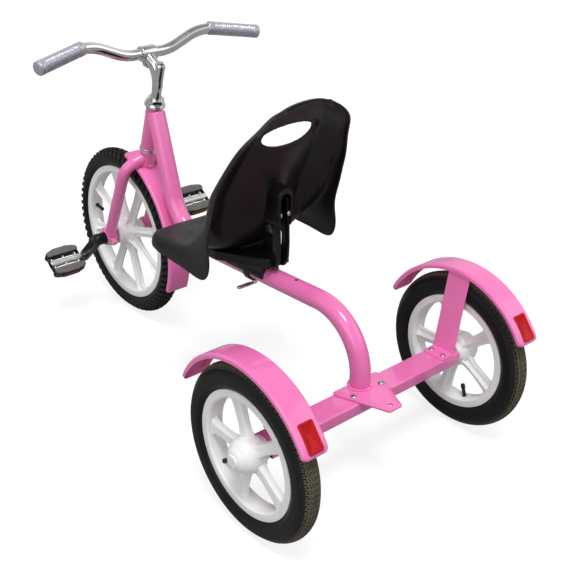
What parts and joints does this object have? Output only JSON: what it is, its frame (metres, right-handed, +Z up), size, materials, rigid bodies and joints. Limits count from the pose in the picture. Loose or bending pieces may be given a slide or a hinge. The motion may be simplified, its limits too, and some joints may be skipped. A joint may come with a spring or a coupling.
{
  "type": "youth tricycle",
  "caption": "Pink youth tricycle with a low bent-tube frame, a black bucket seat, direct front pedal drive, swept handlebar and fendered white-spoked wheels.",
  "frame": {"origin": "on the ground, at the middle of the overall length and width", "axes": "+X forward, +Y to the rider's left, +Z up"},
  "size_m": [1.1434, 0.6, 0.6828],
  "materials": {
    "pink_enamel": "gloss",
    "chrome": "polished",
    "zinc_steel": "satin",
    "black_steel": "gloss",
    "black_plastic": "satin",
    "white_nylon": "satin",
    "tyre_rubber": "matte",
    "pedal_rubber": "matte",
    "grip_vinyl": "glitter",
    "reflector_red": "gloss"
  },
  "bodies": {
    "frame": {"main_tube": "pink_enamel", "head_tube": "pink_enamel", "upper_headset_cup": "chrome", "lower_headset_cup": "chrome", "rear_beam": "pink_enamel", "foot_plate": "pink_enamel", "left_stub_axle": "zinc_steel", "right_stub_axle": "zinc_steel", "left_rear_fender": "pink_enamel", "right_rear_fender": "pink_enamel", "left_reflector": "reflector_red", "right_reflector": "reflector_red", "left_fender_strap": "pink_enamel", "right_fender_strap": "pink_enamel"},
    "seat": {"seat_shell": "black_plastic", "seat_slider": "black_steel", "seat_lever": "zinc_steel", "seat_bracket": "black_steel"},
    "steering": {"steerer_tube": "zinc_steel", "fork_crown": "pink_enamel", "headset_locknut": "chrome", "stem": "chrome", "handlebar": "chrome", "front_fender": "pink_enamel", "left_fork_leg": "pink_enamel", "right_fork_leg": "pink_enamel", "left_bearing_housing": "pink_enamel", "right_bearing_housing": "pink_enamel", "left_grip": "grip_vinyl", "right_grip": "grip_vinyl"},
    "front_wheel": {"front_tyre": "tyre_rubber", "front_rim": "white_nylon", "crank_axle": "zinc_steel", "left_crank": "black_steel", "right_crank": "black_steel"},
    "left_pedal": {"left_pedal_cage": "black_plastic", "left_pedal_pads": "pedal_rubber"},
    "right_pedal": {"right_pedal_cage": "black_plastic", "right_pedal_pads": "pedal_rubber"},
    "rear_left_wheel": {"left_rear_rim": "white_nylon", "left_rear_tyre": "tyre_rubber", "left_hub_cap": "white_nylon"},
    "rear_right_wheel": {"right_rear_rim": "white_nylon", "right_rear_tyre": "tyre_rubber", "right_hub_cap": "white_nylon"}
  },
  "joints": [
    {"name": "steer", "type": "hinge", "parent": "frame", "child": "steering", "pos_m": [0.23625, 0, 0.532], "axis": [-0.309, 0, 0.9511], "range_deg": [-45, 45]},
    {"name": "front_wheel_spin", "type": "hinge", "parent": "steering", "child": "front_wheel", "pos_m": [0.37475, 0, 0.197], "axis": [0, 1, 0], "continuous": true},
    {"name": "left_pedal_spin", "type": "hinge", "parent": "front_wheel", "child": "left_pedal", "pos_m": [0.44165, 0.135, 0.1324], "axis": [0, 1, 0], "continuous": true},
    {"name": "right_pedal_spin", "type": "hinge", "parent": "front_wheel", "child": "right_pedal", "pos_m": [0.30785, -0.135, 0.2616], "axis": [0, 1, 0], "continuous": true},
    {"name": "rear_left_wheel_spin", "type": "hinge", "parent": "frame", "child": "rear_left_wheel", "pos_m": [-0.41275, 0.256, 0.159], "axis": [0, 1, 0], "continuous": true},
    {"name": "rear_right_wheel_spin", "type": "hinge", "parent": "frame", "child": "rear_right_wheel", "pos_m": [-0.41275, -0.256, 0.159], "axis": [0, 1, 0], "continuous": true},
    {"name": "seat_slide", "type": "slide", "parent": "frame", "child": "seat", "axis": [0.9976, 0, -0.0698], "range_m": [-0.127, 0]}
  ]
}
